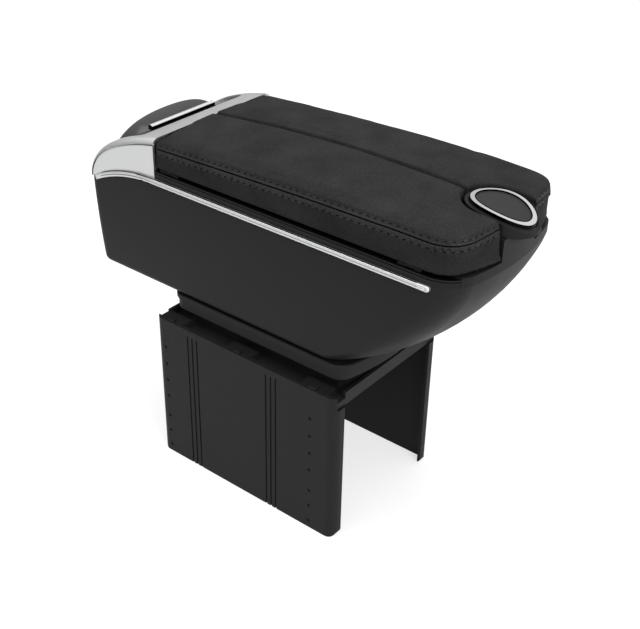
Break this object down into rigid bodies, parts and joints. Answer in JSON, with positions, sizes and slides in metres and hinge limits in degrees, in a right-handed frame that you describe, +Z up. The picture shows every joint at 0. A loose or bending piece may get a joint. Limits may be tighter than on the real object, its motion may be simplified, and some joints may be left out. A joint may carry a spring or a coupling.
{
  "type": "car centre armrest box",
  "caption": "Boat-shaped armrest box with padded butterfly doors, push-button release, chrome trim and rear ashtray, on a saddle bracket.",
  "frame": {"origin": "centre of the overall footprint, at the lower edges of the bracket's panels", "axes": "+X to the front, where the button is; +Y to the left; +Z up"},
  "size_m": [0.3675, 0.1404, 0.3028],
  "materials": {
    "body_plastic": "satin",
    "bracket_plastic": "fine grain",
    "cover_leather": "fine matte grain",
    "chrome_trim": "polished",
    "cover_plastic": "gloss",
    "button_plastic": "satin",
    "steel": "plain"
  },
  "bodies": {
    "base": {"bracket_panel_right": "bracket_plastic", "bracket_panel_left": "bracket_plastic", "bracket_top_plate": "bracket_plastic", "riser_plate": "bracket_plastic", "bracket_screws": "steel", "box_body": "body_plastic", "box_screws": "steel", "top_frame": "body_plastic", "front_panel": "body_plastic", "button_bezel": "body_plastic", "chrome_strip_right": "chrome_trim", "chrome_strip_left": "chrome_trim", "rear_cap": "chrome_trim", "ashtray_hinge_pin": "steel", "ashtray_cup": "body_plastic", "lid_right_hinge_pins": "steel", "lid_left_hinge_pins": "steel", "button_spring": "steel"},
    "lid_right": {"lid_right_base": "body_plastic", "lid_right_pad": "cover_leather"},
    "lid_left": {"lid_left_base": "body_plastic", "lid_left_pad": "cover_leather"},
    "release_button": {"button_cap": "button_plastic", "button_ring": "chrome_trim"},
    "ashtray_cover": {"ashtray_lid": "cover_plastic", "ashtray_handle": "chrome_trim"}
  },
  "joints": [
    {"name": "lid_right_hinge", "type": "hinge", "parent": "base", "child": "lid_right", "pos_m": [0, -0.066, 0.2697], "axis": [1, 0, 0], "range_deg": [0, 90]},
    {"name": "lid_left_hinge", "type": "hinge", "parent": "base", "child": "lid_left", "pos_m": [0, 0.066, 0.2697], "axis": [-1, 0, 0], "range_deg": [0, 90]},
    {"name": "button_push", "type": "slide", "parent": "base", "child": "release_button", "axis": [0, 0, -1], "range_m": [0, 0.003], "stiffness_N_per_m": 600, "springref_m": -0.003, "deforming": ["button_spring"]},
    {"name": "ashtray_cover_hinge", "type": "hinge", "parent": "base", "child": "ashtray_cover", "pos_m": [-0.1775, 0, 0.25], "axis": [0, -1, 0], "range_deg": [0, 80]}
  ]
}
